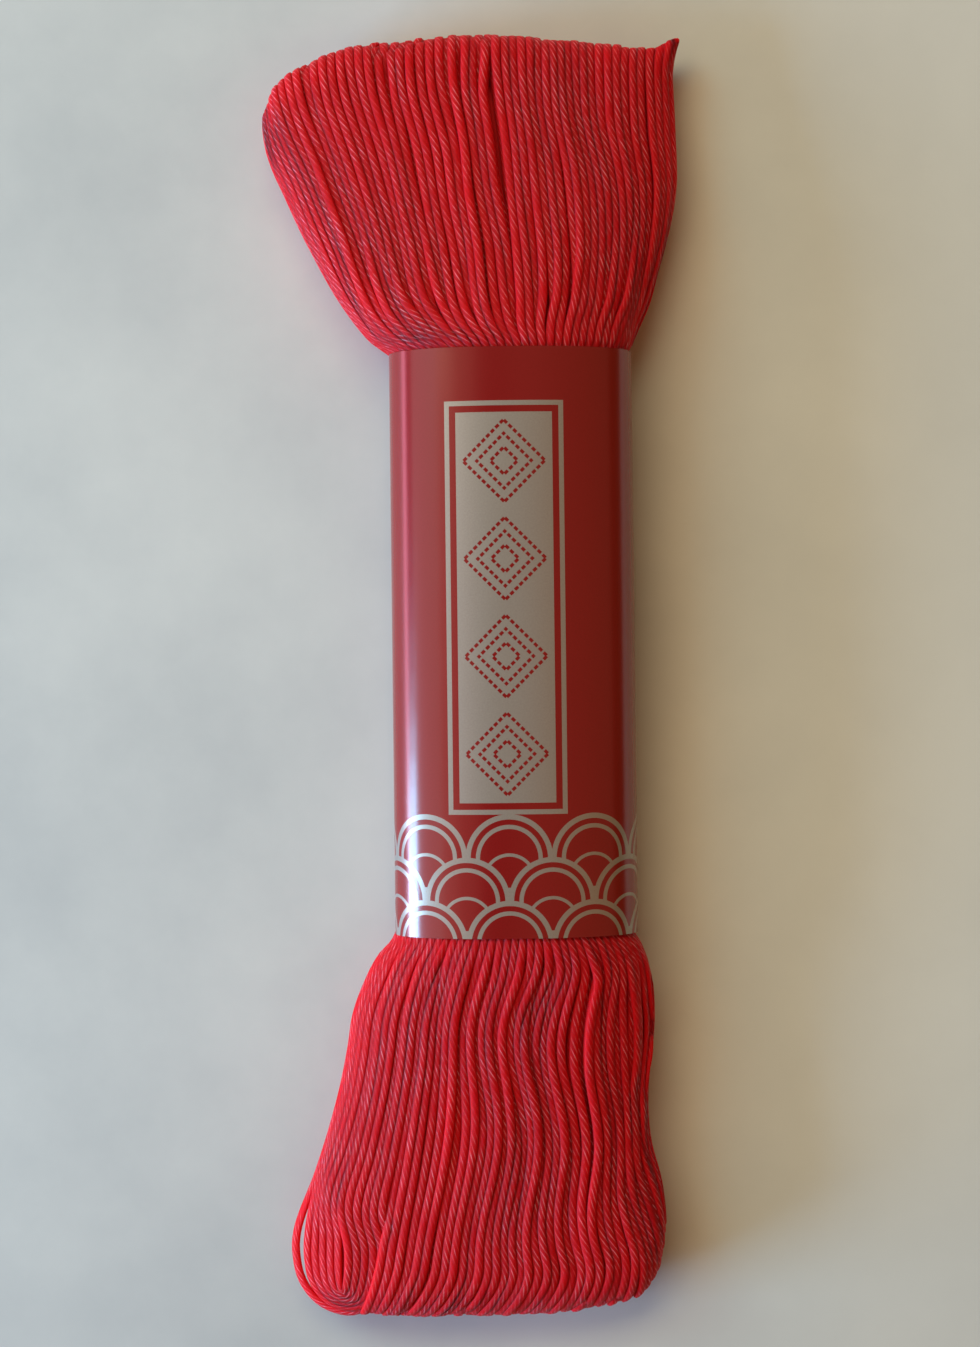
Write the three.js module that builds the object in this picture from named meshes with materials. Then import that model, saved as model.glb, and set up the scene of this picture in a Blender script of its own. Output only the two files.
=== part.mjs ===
// A skein of sashiko thread lying on a table, its waist held by a paper band.
// Millimetres, +Z up. +X is to the right and +Y runs along the skein, towards its wider end.
// The origin is on the table, under the middle of the skein's outline.
import * as THREE from "three";

// The paper band. Its paper is thickened to a workable solid.
const BAND_LENGTH = 54.1;
const BAND_WIDTH = 22.9;
const BAND_HEIGHT = 11;
const BAND_PAPER = 1;
const BAND_CENTRE = { x: 4.28, y: 2.93 };
const BAND_TURN = THREE.MathUtils.degToRad(0.66);
const BAND_OUTLINE_STEPS = 36;

// How the thread sits under the band and swells out of it
const THREAD_TO_BAND = 0.5;
const SHOULDER_LENGTH = 1.1;

// A section across the skein or the band: a crowned top over a flatter underside that rests on the table
const WIDEST_AT = 0.46; // share of the height where the section is widest
const CROWN_POWER = 2.3;
const UNDERSIDE_POWER = 3;
const SETTLE = 0.45; // how far the underside is pressed flat by its weight

// The main locks of thread, raised on the upper face, and the scallops that they make at the two ends
const LOCKS = 13;
const LOCK_RIDGE = 0.55;
const LOCK_SCALLOP = 0.4;
const LOCK_UNEVEN = 0.02; // share of the skein's width by which the locks' widths differ
const LOCK_WANDER = 0.012; // share of the skein's width by which a lock drifts sideways
const LOCK_WAVES = 2.6; // drifts from end to end
const LOCK_LAG = 5; // radians by which the drift at the right edge lags behind the left edge's
const LOCK_SWELLS = 2.3; // times that the locks widen and narrow across the skein

// How finely the skein is divided
const TOP_STEPS = 52;
const UNDER_STEPS = TOP_STEPS / 2;
const STEPS_BETWEEN_ROWS = 3;
const END_STEPS = [0, 0.025, 0.09, 0.2, 0.38, 0.64];

const COLOURS = { thread: 0xc0202c, paper: 0x8a1a1e };

// Sections across the skein, from its lower end to its upper end. Each is a line from the left edge to the right
// edge, seen from above, with the height of the thread's crown over the table.
const LOWER_ROWS = [
  { leftX: -16.5, leftY: -54.7, rightX: 18.85, rightY: -50.8, height: 7.2 },
  { leftX: -15.4, leftY: -49.8, rightX: 18.6, rightY: -47.8, height: 7.9 },
  { leftX: -13.4, leftY: -43.7, rightX: 17.6, rightY: -43.6, height: 8.5 },
  { leftX: -11.6, leftY: -36.8, rightX: 17.2, rightY: -37.4, height: 9.1 },
  { leftX: -10.7, leftY: -31.5, rightX: 17.4, rightY: -31.5, height: 9.8 },
  { leftX: -8.7, leftY: -26.9, rightX: 17.1, rightY: -27.1, height: 10.5 },
];
const UPPER_ROWS = [
  { leftX: -9.4, leftY: 31.6, rightX: 15.95, rightY: 32.3, height: 10.6 },
  { leftX: -12.4, leftY: 35.5, rightX: 17.25, rightY: 35.7, height: 9.8 },
  { leftX: -15.3, leftY: 40.8, rightX: 18.8, rightY: 40.9, height: 8.8 },
  { leftX: -17.4, leftY: 45.4, rightX: 19.6, rightY: 45.8, height: 7.9 },
  { leftX: -19.2, leftY: 49.3, rightX: 19.5, rightY: 50.9, height: 7.2 },
  { leftX: -19.9, leftY: 51.8, rightX: 19.6, rightY: 59.6, height: 6.5 },
];

// The two ends, where the turns of thread go over, seen from above, from the left edge to the right edge.
const LOWER_END = [
  { x: -16.5, y: -54.7 },
  { x: -15.4, y: -58.2 },
  { x: -12, y: -59.9 },
  { x: -1.6, y: -60.4 },
  { x: 12.9, y: -59.5 },
  { x: 16.6, y: -58.3 },
  { x: 18.3, y: -55.5 },
  { x: 18.85, y: -50.8 },
];
const UPPER_END = [
  { x: -19.9, y: 51.8 },
  { x: -18.5, y: 55.4 },
  { x: -13.1, y: 58.6 },
  { x: -5.8, y: 59.8 },
  { x: 2.2, y: 60.4 },
  { x: 13.4, y: 59.5 },
  { x: 18, y: 59.2 },
  { x: 19.6, y: 59.6 },
];
const END_REACH = 3.2; // rows over which an end's curve fades out along the skein

const smooth = THREE.MathUtils.smoothstep;
const lerp = THREE.MathUtils.lerp;

// One point of a section: its offset from the middle and the heights of the top and the underside there. across
// runs from -1 at the left edge to 1 at the right edge, and inset moves the whole section inwards.
function sectionPoint(across, halfWidth, height, inset) {
  const widest = WIDEST_AT * height;
  const side = Math.abs(across);
  const crown = Math.pow(Math.max(0, 1 - Math.pow(side, CROWN_POWER)), 1 / CROWN_POWER);
  const under = Math.pow(Math.max(0, 1 - Math.pow(side, UNDERSIDE_POWER)), 1 / UNDERSIDE_POWER);
  return {
    x: across * (halfWidth - inset),
    top: widest + (height - inset - widest) * crown,
    bottom: Math.max(inset, widest - (widest - inset + SETTLE) * under),
    widest,
    crown,
  };
}

// Steps across a section are closer together at its rounded edges.
function acrossAt(step, steps) {
  return -Math.cos((Math.PI * step) / steps);
}

// The band's outline, as the points of a closed loop, with the given inset.
function bandLoop(inset) {
  const loop = [];
  for (let i = 0; i <= BAND_OUTLINE_STEPS; i++) {
    const p = sectionPoint(acrossAt(i, BAND_OUTLINE_STEPS), BAND_WIDTH / 2, BAND_HEIGHT, inset);
    loop.push(new THREE.Vector2(p.x, p.bottom));
  }
  for (let i = BAND_OUTLINE_STEPS - 1; i > 0; i--) {
    const p = sectionPoint(acrossAt(i, BAND_OUTLINE_STEPS), BAND_WIDTH / 2, BAND_HEIGHT, inset);
    loop.push(new THREE.Vector2(p.x, p.top));
  }
  return loop;
}

function makeBand() {
  const shape = new THREE.Shape(bandLoop(0));
  shape.holes.push(new THREE.Path(bandLoop(BAND_PAPER)));
  const tube = new THREE.ExtrudeGeometry(shape, { depth: BAND_LENGTH, bevelEnabled: false, curveSegments: 1 });
  const paper = new THREE.MeshStandardMaterial({ color: COLOURS.paper, roughness: 0.25, metalness: 0 });
  const mesh = new THREE.Mesh(tube, paper);
  mesh.name = "paper_band";
  mesh.rotation.x = Math.PI / 2;
  mesh.position.y = BAND_LENGTH / 2;
  const group = new THREE.Group();
  group.position.set(BAND_CENTRE.x, BAND_CENTRE.y, 0);
  group.rotation.z = BAND_TURN;
  group.add(mesh);
  return group;
}

// The row where the skein passes one end of the band: end is -1 at the lower end and 1 at the upper end.
function bandRow(end) {
  const corner = (side) =>
    new THREE.Vector2((side * BAND_WIDTH) / 2, (end * BAND_LENGTH) / 2)
      .rotateAround(new THREE.Vector2(), BAND_TURN)
      .add(BAND_CENTRE);
  const left = corner(-1);
  const right = corner(1);
  return { leftX: left.x, leftY: left.y, rightX: right.x, rightY: right.y, height: BAND_HEIGHT };
}

// How far outside the band a point lies, along the band.
function outsideBand(point) {
  const local = point.clone().sub(BAND_CENTRE).rotateAround(new THREE.Vector2(), -BAND_TURN);
  return Math.abs(local.y) - BAND_LENGTH / 2;
}

const rows = [...LOWER_ROWS, bandRow(-1), bandRow(1), ...UPPER_ROWS];
const LAST_ROW = rows.length - 1;
const LOWER_BAND_ROW = LOWER_ROWS.length;
const UPPER_BAND_ROW = LOWER_BAND_ROW + 1;
const throughRows = (x, y) =>
  new THREE.CatmullRomCurve3(rows.map((r) => new THREE.Vector3(r[x], r[y], r.height)), false, "centripetal");
const leftEdge = throughRows("leftX", "leftY");
const rightEdge = throughRows("rightX", "rightY");
const throughEnd = (end) =>
  new THREE.CatmullRomCurve3(end.map((p) => new THREE.Vector3(p.x, p.y, 0)), false, "centripetal");
const lowerEnd = throughEnd(LOWER_END);
const upperEnd = throughEnd(UPPER_END);

// A point of an edge, with the skein's height there as its z. Under the band the edge runs straight.
function edgePoint(curve, along) {
  if (along > LOWER_BAND_ROW && along < UPPER_BAND_ROW) {
    const start = curve.getPoint(LOWER_BAND_ROW / LAST_ROW);
    return start.lerp(curve.getPoint(UPPER_BAND_ROW / LAST_ROW), along - LOWER_BAND_ROW);
  }
  return curve.getPoint(along / LAST_ROW);
}

// How far an end's curve stands off the straight line between its corners, at a share of the way across.
function endBulge(curve, share) {
  const straight = curve.getPoint(0).lerp(curve.getPoint(1), share);
  return curve.getPointAt(share).sub(straight);
}

// The height of a lock's ridge, from 0 in a groove to 1 on a crest.
function lockRidge(share, along) {
  const drift = LOCK_WANDER * Math.sin((2 * Math.PI * LOCK_WAVES * along) / LAST_ROW + LOCK_LAG * share);
  const uneven = LOCK_UNEVEN * Math.sin(2 * Math.PI * LOCK_SWELLS * share);
  return Math.abs(Math.sin(Math.PI * LOCKS * (share + uneven + drift)));
}

// The skein's outline seen from above: along counts rows from the lower end, share runs from left to right.
function planPoint(along, share) {
  const left = edgePoint(leftEdge, along);
  const right = edgePoint(rightEdge, along);
  const point = left.clone().lerp(right, share);
  const nearLower = 1 - smooth(along, 0, END_REACH);
  const nearUpper = smooth(along, LAST_ROW - END_REACH, LAST_ROW);
  const bulge = endBulge(lowerEnd, share).multiplyScalar(nearLower);
  bulge.add(endBulge(upperEnd, share).multiplyScalar(nearUpper));
  const scallop = LOCK_SCALLOP * (1 - lockRidge(share, along)) * 4 * share * (1 - share);
  point.x += bulge.x;
  point.y += bulge.y + scallop * (Math.pow(nearLower, 8) - Math.pow(nearUpper, 8));
  return { plan: new THREE.Vector2(point.x, point.y), height: lerp(left.z, right.z, share) };
}

// The top and underside points of the skein at a place along and across it. The thickness goes round to nothing at
// the two ends, where the turns go over.
function skeinPoint(along, across) {
  const share = (across + 1) / 2;
  const { plan, height } = planPoint(along, share);
  const end = planPoint(along < LAST_ROW / 2 ? 0 : LAST_ROW, share).plan;
  const fromEnd = Math.min(1, plan.distanceTo(end) / (height / 2));
  const round = Math.sqrt(1 - (1 - fromEnd) ** 2);
  const outside = outsideBand(plan);
  const free = smooth(outside, THREAD_TO_BAND, THREAD_TO_BAND + SHOULDER_LENGTH);
  const inset = (BAND_PAPER + THREAD_TO_BAND) * (1 - free);
  const section = sectionPoint(across, 1, height, inset);
  const left = planPoint(along, 0).plan;
  const right = planPoint(along, 1).plan;
  const inward = right.sub(left).setLength(inset * across);
  plan.sub(inward);
  const groove = LOCK_RIDGE * (1 - lockRidge(share, along)) * section.crown * free;
  const top = lerp(section.widest, section.top - groove, round);
  const bottom = lerp(section.widest, section.bottom, round);
  return { top: new THREE.Vector3(plan.x, plan.y, top), bottom: new THREE.Vector3(plan.x, plan.y, bottom) };
}

// The places along the skein where it is divided: close together at the rounded ends and at the band's shoulders.
function divisions() {
  const places = [...END_STEPS];
  for (let row = 1; row < LAST_ROW; row++) {
    for (let step = 0; step < STEPS_BETWEEN_ROWS; step++) {
      places.push(row + step / STEPS_BETWEEN_ROWS);
    }
  }
  const mirrored = END_STEPS.map((step) => LAST_ROW - step).reverse();
  return [...places.filter((place) => place < LAST_ROW - 1), LAST_ROW - 1, ...mirrored];
}

function makeSkein() {
  const places = divisions();
  const lastPlace = places.length - 1;
  const positions = [];
  const add = (point) => positions.push(point.x, point.y, point.z) / 3 - 1;
  const top = places.map((along) => {
    const row = [];
    for (let i = 0; i <= TOP_STEPS; i++) row.push(add(skeinPoint(along, acrossAt(i, TOP_STEPS)).top));
    return row;
  });
  // The underside shares the edges' points with the top, and at the two ends all of them.
  const under = places.map((along, j) => {
    const row = [];
    for (let i = 0; i <= UNDER_STEPS; i++) {
      const shared = i === 0 || i === UNDER_STEPS || j === 0 || j === lastPlace;
      row.push(shared ? top[j][2 * i] : add(skeinPoint(along, acrossAt(i, UNDER_STEPS)).bottom));
    }
    return row;
  });
  const triangles = [];
  for (let j = 0; j < lastPlace; j++) {
    for (let i = 0; i < TOP_STEPS; i++) {
      triangles.push(top[j][i], top[j][i + 1], top[j + 1][i + 1]);
      triangles.push(top[j][i], top[j + 1][i + 1], top[j + 1][i]);
    }
    for (let i = 0; i < UNDER_STEPS; i++) {
      const [a, b] = [under[j][i], under[j][i + 1]];
      const [c, d] = [under[j + 1][i], under[j + 1][i + 1]];
      const between = 2 * i + 1;
      if (j === 0) {
        triangles.push(a, c, top[j][between], top[j][between], c, d, top[j][between], d, b);
      } else if (j === lastPlace - 1) {
        triangles.push(a, c, top[j + 1][between], a, top[j + 1][between], b, b, top[j + 1][between], d);
      } else {
        triangles.push(a, c, d, a, d, b);
      }
    }
  }
  const geometry = new THREE.BufferGeometry();
  geometry.setAttribute("position", new THREE.Float32BufferAttribute(positions, 3));
  geometry.setIndex(triangles);
  geometry.computeVertexNormals();
  const thread = new THREE.MeshStandardMaterial({ color: COLOURS.thread, roughness: 0.85, metalness: 0 });
  const mesh = new THREE.Mesh(geometry, thread);
  mesh.name = "skein";
  return mesh;
}

const part = new THREE.Group();
part.add(makeSkein(), makeBand());

export default part;
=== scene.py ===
import math

import bpy
import numpy as np
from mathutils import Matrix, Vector


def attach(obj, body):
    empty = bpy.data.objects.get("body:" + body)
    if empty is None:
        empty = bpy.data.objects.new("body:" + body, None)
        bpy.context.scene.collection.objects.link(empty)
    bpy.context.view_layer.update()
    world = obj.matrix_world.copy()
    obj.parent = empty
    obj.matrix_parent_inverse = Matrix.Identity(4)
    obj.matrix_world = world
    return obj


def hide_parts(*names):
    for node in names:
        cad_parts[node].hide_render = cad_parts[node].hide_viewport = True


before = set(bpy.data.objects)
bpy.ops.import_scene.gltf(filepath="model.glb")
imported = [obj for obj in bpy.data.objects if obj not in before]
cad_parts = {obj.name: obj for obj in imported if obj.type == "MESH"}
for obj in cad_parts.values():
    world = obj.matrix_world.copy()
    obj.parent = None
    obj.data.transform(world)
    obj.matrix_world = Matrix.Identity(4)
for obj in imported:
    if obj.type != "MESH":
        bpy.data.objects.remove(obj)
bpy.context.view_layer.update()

MM = 0.001

# Sizes are in millimetres, in the part's frame: +X right, +Y along the skein, +Z up. Two numbers in
# brackets after a name that ends in ACROSS, ALONG, BEGINS or ENDS are the places between which something
# comes on or goes off.

# The paper band round the waist. It winds inwards by LAP_ROOM paper thicknesses, so its lapped ends stay
# apart.
BAND_LENGTH = 54.1
BAND_WIDTH = 22.9
BAND_HEIGHT = 11.0
BAND_CENTRE = np.array([4.28, 2.93])
BAND_TURN = math.radians(0.66)
PAPER = 0.16
PAPER_LAP = 9.0
LAP_ROOM = 1.1
SHARP_EDGE = math.radians(40)

# A section across the skein or the band: where it is widest, how square it is above and below, and how
# far its underside is pressed flat
WIDEST_AT = 0.46
CROWN_POWER = 2.3
UNDERSIDE_POWER = 3.0
UNDERSIDE_PRESS = 0.45

# One strand of thread, pressed flat. Its plies twist to the left, as cotton sewing thread does, from a
# start that differs from strand to strand.
STRAND_RADIUS = 0.32
FLATNESS = 1.38
PRESSED_POWER = 2.7
PLIES = 7
PLY_LEAD = 6.2
PLY_DEPTH = 0.024
PLY_STARTS = 50

# The layers of strands. In even and odd ones the first strand starts at different shares of a strand's
# width.
LAYERS = 3
LAYER_STEP = 0.5
LAYER_STARTS = (0.2, 0.7)
LAYER_SPARE = 0.6

# The fans' ends, where strands turn over a little unevenly, flatten, gather into tufts and lean
END_STEP = 0.02
END_UNEVEN = 0.5
END_SOFTNESS = 0.3
BEND_REACH = 2.0
BUNCH_REACH = 9.0
LEAN_REACH = 5.5

# The band holds the strands, which crowd towards it. There the layers are thicker, and a share of the
# strands sinks by half a layer. The paper presses on them over rows that are counted back from a fan's
# last one.
INTO_BAND = 4.0
BAND_STEP = 1.1
HALF_LAYER = 0.6
SUNK_SHARE = 0.28
SUNK_STEP = 0.618
SUNK_START = 0.5
CROWD_POWER = 1.5
UNDER_PAPER = 0.32
PRESS_FROM_ROW = 1.4
PRESS_TO_ROW = 0.95
BAND_HOLD_ALONG = (0, 2.5)
FREE_ALONG = (-0.5, 5)

# Sections across each fan of thread, from its end to the band: left x, left y, right x, right y, height
LOWER_ROWS = np.array([
    (-16.5, -54.7, 18.85, -50.8, 7.2),
    (-15.4, -49.8, 18.6, -47.8, 7.9),
    (-13.4, -43.7, 17.6, -43.6, 8.5),
    (-11.6, -36.8, 17.2, -37.4, 9.1),
    (-10.7, -31.5, 17.4, -31.5, 9.8),
    (-8.7, -26.9, 17.1, -27.1, 10.5),
])
UPPER_ROWS = np.array([
    (-19.9, 51.8, 19.2, 59.6, 6.5),
    (-19.2, 49.3, 19.5, 50.9, 7.2),
    (-17.4, 45.4, 19.6, 45.8, 7.9),
    (-15.3, 40.8, 18.8, 40.9, 8.8),
    (-12.4, 35.5, 17.25, 35.7, 9.8),
    (-9.4, 31.6, 15.95, 32.3, 10.6),
])

# The curves where the turns of thread go over at the two ends, from left to right: x, y. They fade out
# over so many rows.
LOWER_END = np.array([
    (-16.5, -54.7),
    (-15.4, -58.2),
    (-12.0, -59.9),
    (-1.6, -60.4),
    (12.9, -59.5),
    (16.6, -58.3),
    (18.3, -55.5),
    (18.85, -50.8),
])
UPPER_END = np.array([
    (-19.9, 51.8),
    (-18.5, 55.4),
    (-13.1, 58.6),
    (-5.8, 59.8),
    (2.2, 60.4),
    (13.4, 59.5),
    (17.8, 59.2),
    (19.2, 59.6),
])
END_REACH = 3.2

# The upper right corner is drawn out to a point
TIP_PULL = np.array([0.9, 0.85])
TIP_REACH = 3.6

# Loose loops lie flat on the lower left corner, one inside the other, the first a little apart from the
# rest. The guides go down the left edge, round the corner and up again on top, for loops nested at 0 and
# at 1: x, y, z
CORNER_NEST = (-0.38, 0.0, 0.25, 0.5, 0.75, 1.0)
CORNER_OUTER = np.array([
    (-14.95, -52.5, 4.4),
    (-15.0, -55.0, 4.2),
    (-14.5, -57.3, 4.0),
    (-13.2, -58.9, 4.0),
    (-11.2, -59.5, 4.4),
    (-9.3, -58.7, 5.4),
    (-8.3, -56.5, 6.3),
    (-8.0, -53.5, 6.8),
])
CORNER_INNER = np.array([
    (-12.05, -52.5, 6.0),
    (-12.05, -55.0, 5.9),
    (-11.95, -56.9, 5.7),
    (-11.75, -57.6, 5.6),
    (-11.5, -57.8, 5.6),
    (-11.25, -57.6, 5.8),
    (-11.1, -56.6, 6.1),
    (-11.05, -53.5, 6.6),
])

# The loops' legs: the row where they leave the fan, their places across it, and out of how many one sinks
# near the band
CORNER_FROM_ROW = 1.5
CORNER_LEFT_HOME = (0.012, 0.116)
CORNER_RIGHT_HOME = (0.136, 0.238)
LEGS_TO_SUNK_ONE = 4

# How the strands of each fan lie:
# strands is how many each layer has over the fan's width, and starts where each layer begins across it,
# lean how far the turns slant to the left, and corner how far those at the left corner slant to the right,
# bared how far the deeper layers end short of that corner,
# bunches how many tufts the end gathers into, and bunching how tightly,
# drift how far strands stray together, in long and in shorter waves,
# wander, waver and depth how far each strays alone, in small waves and in depth,
# sway how far all swing to and fro, riders how many stray further, on top of the others,
# and parting how far strands stand apart along one line.
HABITS = {
    "lower": {"seed": 11, "strands": (53, 53, 44), "starts": (0.25, 0.02, 0.02), "lean": 3.4, "corner": 0.0,
              "bared": 3.5, "bunches": 11, "bunching": 0.1, "drift": (0.9, 0.2), "wander": 0.1,
              "waver": 0.03, "depth": 0.08, "sway": 0.6, "riders": 3, "parting": 0.0},
    "upper": {"seed": 12, "strands": (51, 51, 44), "starts": (0.0, 0.0, 0.0), "lean": 0.0, "corner": 1.6,
              "bared": 0.0, "bunches": 25, "bunching": 0.08, "drift": (0.8, 0.2), "wander": 0.06,
              "waver": 0.03, "depth": 0.06, "sway": 0.0, "riders": 3, "parting": 0.5},
}

# Where these habits show, as shares of a fan's width across it and as distances from its end along it,
# and how strong they are there
LEAN_ACROSS = (0.15, 0.4)
LEAN_ENDS = (0.6, 0.95)
LEAN_LOSS = 0.6
CORNER_SHARE = 0.09
BARED_ENDS = (0.2, 0.3)
BARED_SINK = 0.3
SWAY_AT = 13.5
SWAY_LENGTH = 18.0
SWAY_ACROSS = (0.2, 0.5)
SWAY_ALONG = (0, 6)
RIDER_ALONG = (2, 12)
RIDER_WANDER = 1.8
RIDER_LIFT = 0.18
PARTING_AT = 0.55
PARTING_SHARE = 0.035
PARTING_BEGINS = (2, 7)
PARTING_ENDS = (14, 22)

# Over how many strands and how many points along them the straying is smooth, and how much strands differ
# in it
DRIFT_SIZES = ((14, 13), (6, 6))
WANDER_SIZE = (0.4, 10)
WAVER_SIZE = (0.3, 4)
WANDER_SPREAD = 0.5

# How hard the settling holds strands where they were laid: along the fan, where they crowd, at its edges,
# in the turns and in the loose loops
GRIP = 0.02
CROWD_GRIP = 0.15
EDGE_GRIP = 0.3
EDGE_ACROSS = (0.7, 0.95)
END_GRIP = 0.25
LOOP_GRIP = 0.06

# How close flattened strands come side by side, how many times closer one above the other, and how far
# those that press on each other give way in height rather than sideways
SIDE_BY_SIDE = 0.71
STACKED = 1.5
LIFT_SHARE = 0.35

# The steps of the settling: how often close pairs are looked for, how much further than they touch, which
# points are too firmly held to need it, how far apart on one strand they may meet, and how far each step
# pushes and smooths
SETTLE_STEPS = 140
PAIRS_EVERY = 6
PAIR_SLACK = 0.15
FIRM_HOLD = 0.3
MEETING_POINTS = 10
PUSH_SHARE = 0.3
SMOOTHING = 0.25

# The thread's colours, the lightest a painted highlight for glints, how closely its fibres and the patches
# where glints are painted lie, how much strands differ in tone and how far plies are painted darker in
# their grooves as shade, and how painted glints follow the fibres and patches, each as a scale and an
# offset
THREAD_DARK = (0.6, 0.002, 0.007, 1.0)
THREAD_MIDDLE = (0.7, 0.004, 0.013, 1.0)
THREAD_PAINTED_HIGHLIGHT = (1.0, 0.26, 0.32, 1.0)
FIBRES_AROUND = 30.0
FIBRES_ALONG = 0.9
PATCHES_APART = 60.0
PATCHES_ALONG = 0.35
STRAND_TONES = 0.4
PLY_GROOVE_SHADE = 0.8
FIBRE_GLINTS = (7.0, -2.9)
PATCH_GLINTS = (3.2, -0.95)

# The print on the band. Across it is measured from the middle of the front, along it from the lower edge.
PRINT_HALF = 15.0
PANEL_WIDTH = 8.9
PANEL_LENGTH = 35.7
PANEL_CENTRE = -0.7
PANEL_BOTTOM = 12.4
FRAME_GAP = 0.6
FRAME_LINE = 0.45
WAVE_ROWS = 3
WAVE_RADIUS = 3.95
WAVE_TOP = 11.3
WAVE_START = -0.63
WAVE_OVERLAP = 0.08
WAVE_RIM = 0.48
WAVE_RING = 2.99
WAVE_RING_LINE = 0.39
WAVE_HEART = 2.46
WAVE_HEART_LINE = 0.3
WAVE_HEART_DROP = 2.0
DIAMONDS = 4
DIAMOND_STEP = 1.25
DIAMOND_RINGS = 3
STITCH = 0.85
STITCH_SHARE = 0.68
STITCH_WIDTH = 0.42

# Colours of the print and the floor, in sRGB from 0 to 255. Those in pairs are mottled between the two.
PRINT_RED = ((126, 8, 16), (140, 12, 22))
PRINT_SILVER = ((150, 140, 134), (172, 164, 158))
FLOOR_PALE = ((194, 197, 202), (212, 214, 217))
# The floor's painted warm light and painted shade
FLOOR_PAINTED_WARM_LIGHT = (226, 217, 204)
FLOOR_PAINTED_SHADE = (150, 152, 158)

# Painted on the floor: warm light between two places to the right, shade between two towards the near edge
FLOOR_HALF = 600
FLOOR_DROP = 0.05
WARM_LIGHT_BEGINS = (0, 40)
WARM_LIGHT_SHARE = 0.5
SHADE_BEGINS = (-35, -75)
SHADE_SHARE = 0.26

# The camera straight above the skein: its place, lens, sensor and nearest distance
CAMERA_PLACE = (2.12, 0.09, 220)
CAMERA_LENS = 61.27
CAMERA_SENSOR = 36
CAMERA_NEAREST = 10

# The room's own glow, and the lights in it: name, place, aim and size, in metres, power and colour
ROOM_GLOW = (1.0, 0.68, 0.12, 1.0)
ROOM_STRENGTH = 0.08
LIGHTS = (
    ("window", (-0.56, -0.2, 0.14), (0, 0, 0.005), (0.3, 0.2), 6.2, (0.33, 0.67, 1.0)),
    ("sill", (-0.6, 0.0, 0.05), (0, 0, 0.005), (0.9, 0.09), 1.35, (1.0, 0.38, 0.55)),
    ("wall", (-0.64, 0.0, 0.48), (0, 0, 0), (0.7, 0.46), 0.8, (0.95, 0.95, 0.93)),
    ("wall_top", (-0.42, 0.0, 0.68), (0, 0, 0), (0.7, 0.18), 0.26, (1.0, 0.6, 0.5)),
    ("coving", (-0.26, 0.0, 0.75), (0, 0, 0), (0.7, 0.18), 0.15, (1.0, 0.5, 0.4)),
    ("sky", (-0.6, 0.5, 0.5), (0, 0, 0), (0.4, 0.35), 2.0, (0.54, 0.99, 1.0)),
    ("lamp", (-0.25, 0.55, 0.8), (0, 0, 0), (0.9, 0.35), 4.4, (1.0, 0.89, 0.55)),
    ("room", (-0.15, -0.55, 0.8), (0, 0, 0), (0.9, 0.35), 0.5, (1.0, 0.6, 0.3)),
    ("ceiling", (0.5, 0.0, 0.75), (0, 0, 0), (0.9, 1.2), 0.8, (1.0, 0.3, 0.2)),
)

# How finely the fans are tabled and curves drawn. Strands' shares of a fan's width are read at SHARES_AT.
ALONG_STEPS = 160
SHARE_STEPS = 80
SHARES_AT = ALONG_STEPS / 3
SECTION_POINTS = 201
END_POINTS = 400
LOOP_POINTS = 800
LEG_POINTS = 10

# How finely the strands, the inside of a fan and the band are divided. The inside's rounded end starts at
# the angle CORE_TIP, and the paper's direction is read SHEET_SLOPE to either side.
PASS_POINTS = 64
TURN_POINTS = 20
STRAND_POINTS = 2 * PASS_POINTS + TURN_POINTS
STRAND_SIDES = 8
DEEPEST_SIDES = 6
SURFACE_ROUNDS = 12
CORE_ACROSS = 30
CORE_ROUND = 8
CORE_ALONG = 24
CORE_TIP = 0.02
BAND_STEPS = 120
SHEET_STEPS = 240
SHEET_ROWS = 60
SHEET_SLOPE = 0.05


def smoothstep(x, low, high):
    """From 0 at low, or below it, smoothly to 1 at high."""
    f = np.clip((x - low) / (high - low), 0, 1)
    return f * f * (3 - 2 * f)


def through(points, at):
    """A smooth curve through points (centripetal Catmull-Rom), at places counted in points. a to d are the
    four points round a place."""
    p = np.vstack([2 * points[0] - points[1], points, 2 * points[-1] - points[-2]])
    i = np.clip(np.floor(at).astype(int), 0, len(points) - 2)
    f = (at - i)[..., None]
    a, b, c, d = p[i], p[i + 1], p[i + 2], p[i + 3]
    ab = np.sqrt(np.linalg.norm(b - a, axis=-1, keepdims=True))
    bc = np.sqrt(np.linalg.norm(c - b, axis=-1, keepdims=True))
    cd = np.sqrt(np.linalg.norm(d - c, axis=-1, keepdims=True))
    leave = ((b - a) / ab - (c - a) / (ab + bc) + (c - b) / bc) * bc
    arrive = ((c - b) / bc - (d - b) / (bc + cd) + (d - c) / cd) * bc
    return (b + leave * f + (3 * (c - b) - 2 * leave - arrive) * f ** 2
            + (2 * (b - c) + leave + arrive) * f ** 3)


def run_along(line):
    """Distances along a line of points."""
    return np.concatenate([[0], np.cumsum(np.linalg.norm(np.diff(line, axis=0), axis=1))])


def points_at(at, run, line):
    """Points of a line at places, where run is the places of its own points."""
    return np.stack([np.interp(at, run, line[:, k]) for k in range(line.shape[1])], axis=-1)


def lookup(table, i, j):
    """A table's values at fractional places, kept just inside its last row and column."""
    i = np.clip(i, 0, table.shape[0] - 1.0001)
    j = np.clip(j, 0, table.shape[1] - 1.0001)
    i0, j0 = i.astype(int), j.astype(int)
    fi, fj = i - i0, j - j0
    if table.ndim == 3:
        fi, fj = fi[..., None], fj[..., None]
    low = table[i0, j0] * (1 - fj) + table[i0, j0 + 1] * fj
    high = table[i0 + 1, j0] * (1 - fj) + table[i0 + 1, j0 + 1] * fj
    return low * (1 - fi) + high * fi


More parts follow.
